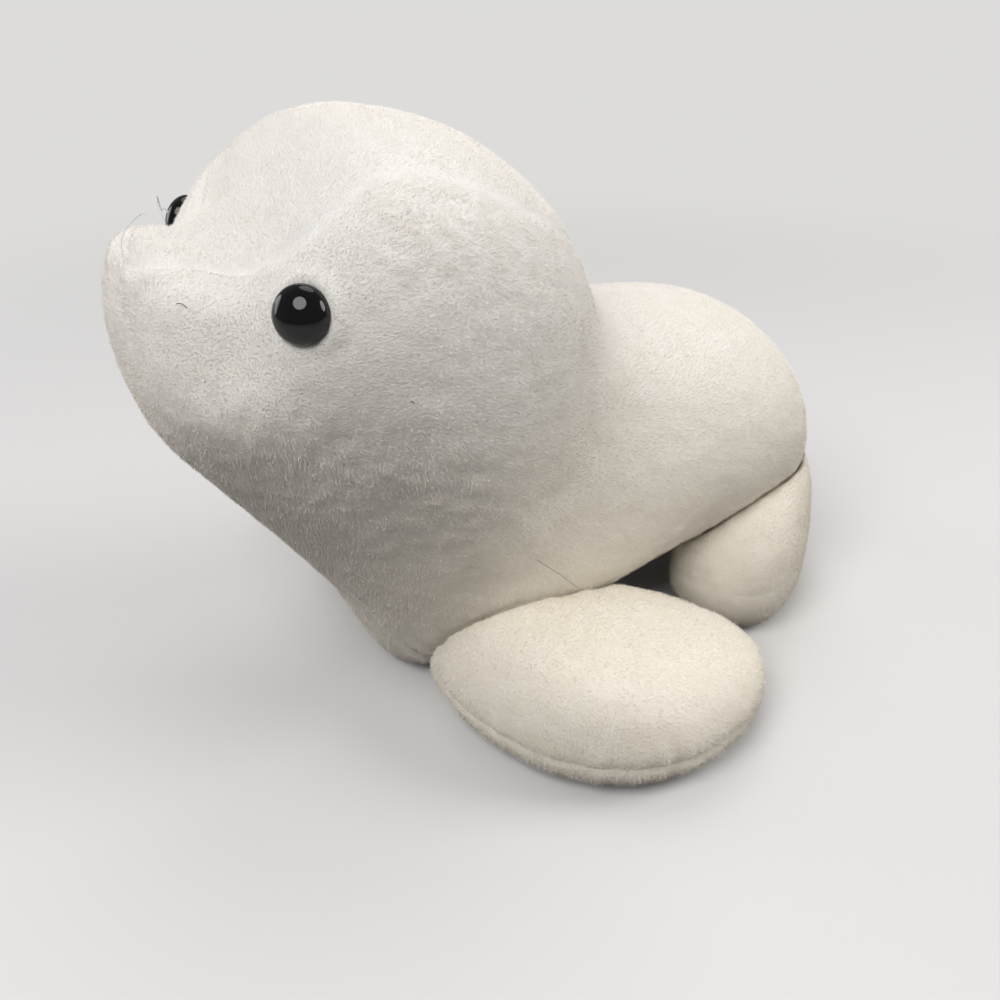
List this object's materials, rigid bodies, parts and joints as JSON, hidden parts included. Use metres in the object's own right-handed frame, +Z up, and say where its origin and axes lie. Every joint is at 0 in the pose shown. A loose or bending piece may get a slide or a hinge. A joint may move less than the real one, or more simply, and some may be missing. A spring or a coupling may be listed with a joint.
{
  "type": "plush seal",
  "caption": "Soft plush seal pup lying on its belly with its head turned up, spread front flippers and tail flippers, filled with loose fibre, for hugging and display.",
  "frame": {"origin": "middle of the base, on the surface the toy lies on", "axes": "+Z up, -Y the way the face looks, +X the toy's left side"},
  "size_m": [0.2744, 0.3152, 0.2352],
  "materials": {
    "cream_pile": "short cream-white polyester pile on a knitted backing",
    "white_stuffing": "loose white polyester fibre filling",
    "black_eye_plastic": "polished black plastic",
    "washer_plastic": "moulded natural white plastic"
  },
  "bodies": {
    "root": {"crown_panel": "cream_pile", "belly_panel": "cream_pile", "left_side_panel": "cream_pile", "right_side_panel": "cream_pile", "body_stuffing": "white_stuffing", "left_eye": "black_eye_plastic", "right_eye": "black_eye_plastic", "left_eye_washer": "washer_plastic", "right_eye_washer": "washer_plastic", "left_front_flipper_upper": "cream_pile", "left_front_flipper_lower": "cream_pile", "left_front_flipper_stuffing": "white_stuffing", "left_rear_flipper_upper": "cream_pile", "left_rear_flipper_lower": "cream_pile", "left_rear_flipper_stuffing": "white_stuffing", "right_front_flipper_upper": "cream_pile", "right_front_flipper_lower": "cream_pile", "right_front_flipper_stuffing": "white_stuffing", "right_rear_flipper_upper": "cream_pile", "right_rear_flipper_lower": "cream_pile", "right_rear_flipper_stuffing": "white_stuffing"}
  },
  "joints": []
}
